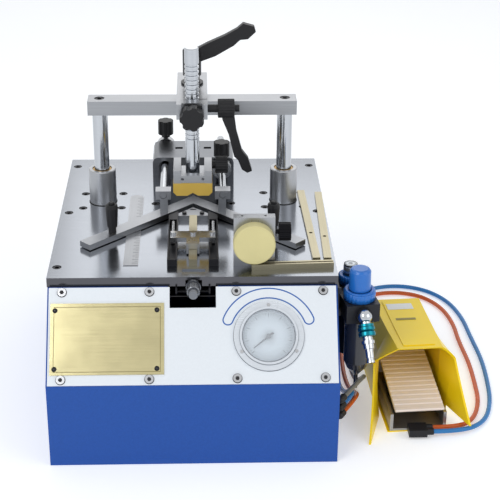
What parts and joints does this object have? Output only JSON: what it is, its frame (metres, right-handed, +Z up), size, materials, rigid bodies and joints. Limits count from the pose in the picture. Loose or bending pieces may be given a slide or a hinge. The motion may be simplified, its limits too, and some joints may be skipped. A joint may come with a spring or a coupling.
{
  "type": "picture frame underpinner",
  "caption": "Bench V-nail underpinner with a sloped cabinet, polished table, V fence, guided pressure head, air regulator and hooded foot pedal on loose air tubes",
  "frame": {"origin": "Centre of the cabinet's footprint, on the floor", "axes": "X to the machine's right, Y to its back, Z up; the operator stands at -Y"},
  "size_m": [0.5722, 0.4676, 0.46],
  "materials": {
    "white_paint": "satin",
    "blue_paint": "satin",
    "yellow_paint": "gloss",
    "plate_steel": "polished",
    "machined_steel": "fine brushed",
    "grey_steel": "brushed",
    "bright_chrome": "mirror",
    "dark_screw": "satin black",
    "brass_plate": "polished",
    "black_plastic": "matt",
    "gauge_black": "satin",
    "clear_glass": "clear",
    "pointer_black": "matt",
    "bronze": "satin",
    "pad_yellow": "satin",
    "knob_blue": "gloss",
    "smoke_bowl": "gloss",
    "teal_sleeve": "metallic",
    "tube_grey": "gloss",
    "tube_blue": "gloss",
    "tube_orange": "gloss"
  },
  "bodies": {
    "cabinet": {"cabinet_shell": "blue_paint", "base_cover": "grey_steel", "front_panel": "white_paint", "name_plate": "brass_plate", "panel_screws": "dark_screw", "gauge_case": "gauge_black", "gauge_glass": "clear_glass", "top_plate": "plate_steel", "plate_screws": "dark_screw", "guide_sleeves": "machined_steel", "guide_bushes": "bronze", "air_cylinders": "grey_steel", "driver_head": "machined_steel", "magazine_body": "dark_screw", "nail_rail": "brass_plate", "pusher_springs": "bright_chrome", "scale_strip": "machined_steel", "guide_bridge": "machined_steel", "regulator_body": "black_plastic", "filter_bowl": "smoke_bowl", "lubricator": "smoke_bowl", "air_bracket": "gauge_black", "air_coupling": "bright_chrome", "tube_fittings": "white_paint", "tube_grey": "tube_grey", "tube_blue": "tube_blue", "tube_orange": "tube_orange", "pedal_base": "yellow_paint", "foot_valve": "gauge_black", "pedal_guard": "yellow_paint", "spare_pad_plate": "machined_steel", "spare_round_pad": "pad_yellow", "spare_rails": "machined_steel"},
    "press_frame": {"guide_columns": "bright_chrome", "crossbar": "machined_steel", "crossbar_fixings": "dark_screw", "lower_yoke": "grey_steel"},
    "arm": {"clamp_block": "machined_steel"},
    "head": {"clamp_shaft": "bright_chrome", "pad_holder": "machined_steel", "pressure_pad": "pad_yellow"},
    "top_clamp": {"top_lever": "black_plastic"},
    "side_clamp": {"side_lever": "black_plastic"},
    "index": {"index_knob": "black_plastic"},
    "pad_screw": {"pad_knob": "black_plastic"},
    "driver": {"driver_blade": "grey_steel"},
    "pusher": {"pusher_bar": "machined_steel"},
    "latch": {"pull_knob": "machined_steel"},
    "fence": {"v_fence": "machined_steel", "fence_blocks": "machined_steel", "fence_rods": "bright_chrome", "fence_handles": "black_plastic"},
    "right_stop": {"stop_collar_right": "machined_steel"},
    "left_stop": {"stop_collar_left": "machined_steel"},
    "right_stop_knob": {"collar_knob_right": "black_plastic"},
    "left_stop_knob": {"collar_knob_left": "black_plastic"},
    "needle": {"gauge_pointer": "pointer_black"},
    "regulator_dial": {"regulator_knob": "knob_blue"},
    "valve_sleeve": {"slide_sleeve": "teal_sleeve"},
    "pedal": {"pedal_plate": "grey_steel"}
  },
  "joints": [
    {"name": "press_stroke", "type": "slide", "parent": "cabinet", "child": "press_frame", "axis": [0, 0, 1], "range_m": [-0.014, 0], "stiffness_N_per_m": 1500, "springref_m": 0.05},
    {"name": "arm_slide", "type": "slide", "parent": "press_frame", "child": "arm", "axis": [0, 1, 0], "range_m": [-0.015, 0.015]},
    {"name": "head_height", "type": "slide", "parent": "arm", "child": "head", "axis": [0, 0, 1], "range_m": [0, 0.03]},
    {"name": "top_clamp_turn", "type": "hinge", "parent": "press_frame", "child": "top_clamp", "pos_m": [0, 0.08, 0.4], "axis": [0, 0, 1], "range_deg": [-60, 60]},
    {"name": "side_clamp_turn", "type": "hinge", "parent": "arm", "child": "side_clamp", "pos_m": [0.0195, 0.011, 0.3695], "axis": [1, 0, 0], "range_deg": [-90, 30]},
    {"name": "index_turn", "type": "hinge", "parent": "arm", "child": "index", "pos_m": [0, -0.003, 0.365], "axis": [0, 1, 0], "continuous": true},
    {"name": "pad_screw_turn", "type": "hinge", "parent": "head", "child": "pad_screw", "pos_m": [0.015, 0.028, 0.2865], "axis": [1, 0, 0], "continuous": true},
    {"name": "driver_stroke", "type": "slide", "parent": "cabinet", "child": "driver", "axis": [0, 0, 1], "range_m": [0, 0.02], "stiffness_N_per_m": 400, "springref_m": -0.02},
    {"name": "pusher_slide", "type": "slide", "parent": "cabinet", "child": "pusher", "axis": [0, 1, 0], "range_m": [-0.045, 0], "stiffness_N_per_m": 60, "springref_m": 0.03, "deforming": ["pusher_springs"]},
    {"name": "latch_pull", "type": "slide", "parent": "cabinet", "child": "latch", "axis": [0, 1, 0], "range_m": [-0.005, 0], "stiffness_N_per_m": 300, "springref_m": 0.004},
    {"name": "fence_set", "type": "slide", "parent": "cabinet", "child": "fence", "axis": [0, 1, 0], "range_m": [-0.0045, 0.0045]},
    {"name": "right_stop_slide", "type": "slide", "parent": "fence", "child": "right_stop", "axis": [0, 1, 0], "range_m": [-0.035, 0]},
    {"name": "left_stop_slide", "type": "slide", "parent": "fence", "child": "left_stop", "axis": [0, 1, 0], "range_m": [0, 0.018]},
    {"name": "right_stop_turn", "type": "hinge", "parent": "right_stop", "child": "right_stop_knob", "pos_m": [0.0385, 0.104, 0.27], "axis": [0, 0, 1], "continuous": true},
    {"name": "left_stop_turn", "type": "hinge", "parent": "left_stop", "child": "left_stop_knob", "pos_m": [-0.0385, 0.189, 0.27], "axis": [0, 0, 1], "continuous": true},
    {"name": "needle_turn", "type": "hinge", "parent": "cabinet", "child": "needle", "pos_m": [0.09, -0.19317, 0.15459], "axis": [0, 0.771, -0.6369], "range_deg": [0, 256]},
    {"name": "regulator_turn", "type": "hinge", "parent": "cabinet", "child": "regulator_dial", "pos_m": [0.203, -0.14, 0.2], "axis": [0, 0, 1], "continuous": true},
    {"name": "valve_slide", "type": "slide", "parent": "cabinet", "child": "valve_sleeve", "axis": [0.1, -0.6201, -0.7781], "range_m": [0, 0.004], "stiffness_N_per_m": 300, "springref_m": -0.004},
    {"name": "pedal_press", "type": "hinge", "parent": "cabinet", "child": "pedal", "pos_m": [0.27286, -0.03511, 0.02], "axis": [0.9976, 0.0698, 0], "range_deg": [0, 5.5], "stiffness_Nm_per_rad": 6, "springref_deg": -14.9}
  ]
}
